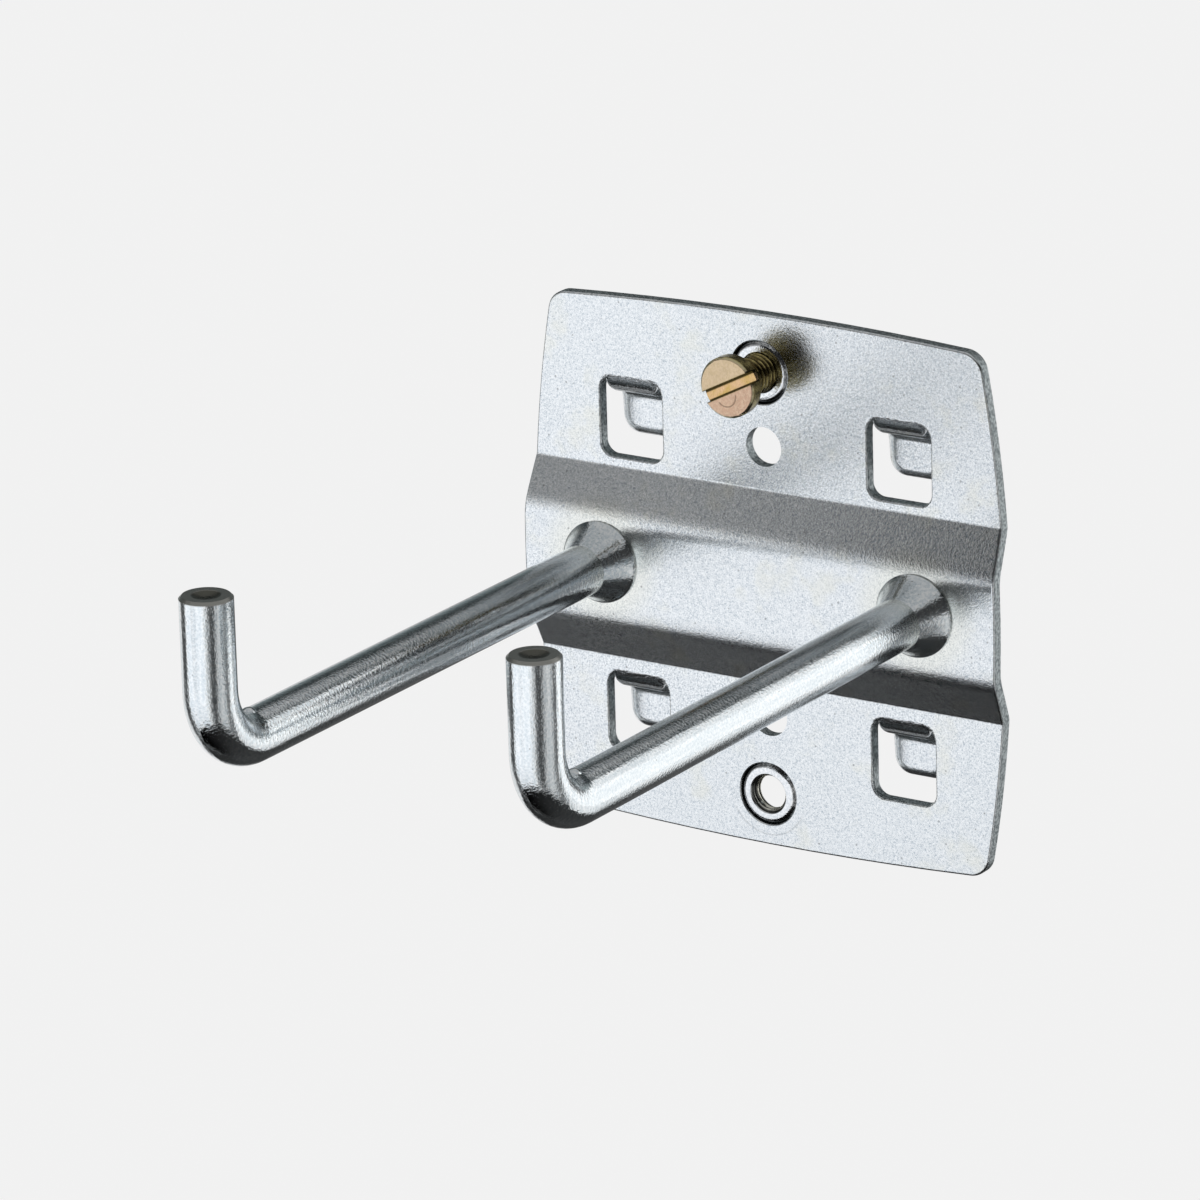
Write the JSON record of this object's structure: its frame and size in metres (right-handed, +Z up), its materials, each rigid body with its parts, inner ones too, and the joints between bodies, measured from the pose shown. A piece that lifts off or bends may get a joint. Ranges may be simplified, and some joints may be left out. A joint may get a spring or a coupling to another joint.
{
  "type": "double tool hook",
  "caption": "Bead-stiffened steel plate carrying round upturned hooks, with tabs lanced out of square windows and a slotted locking screw, for a perforated tool panel.",
  "frame": {"origin": "centre of the plate, midway between the plain fixing holes, on the back plane of the flat wings", "axes": "+X right when the plate is seen from the front, +Y back into the panel, +Z up; the hooks reach out along -Y"},
  "size_m": [0.067, 0.0928, 0.0678],
  "materials": {
    "plate_zinc": "satin bright zinc plate with fine mottled grain",
    "rod_zinc": "bright drawn rod, zinc plated",
    "ring_zinc": "turned steel, zinc plated",
    "screw_yellow": "yellow passivated zinc"
  },
  "bodies": {
    "hook_plate": {"back_plate": "plate_zinc", "left_hook": "rod_zinc", "right_hook": "rod_zinc", "upper_ring": "ring_zinc", "lower_ring": "ring_zinc"},
    "screw": {"locking_screw": "screw_yellow"}
  },
  "joints": [
    {"name": "screw_travel", "type": "slide", "parent": "hook_plate", "child": "screw", "axis": [0, -1, 0], "range_m": [-0.0055, 0.0018]}
  ]
}
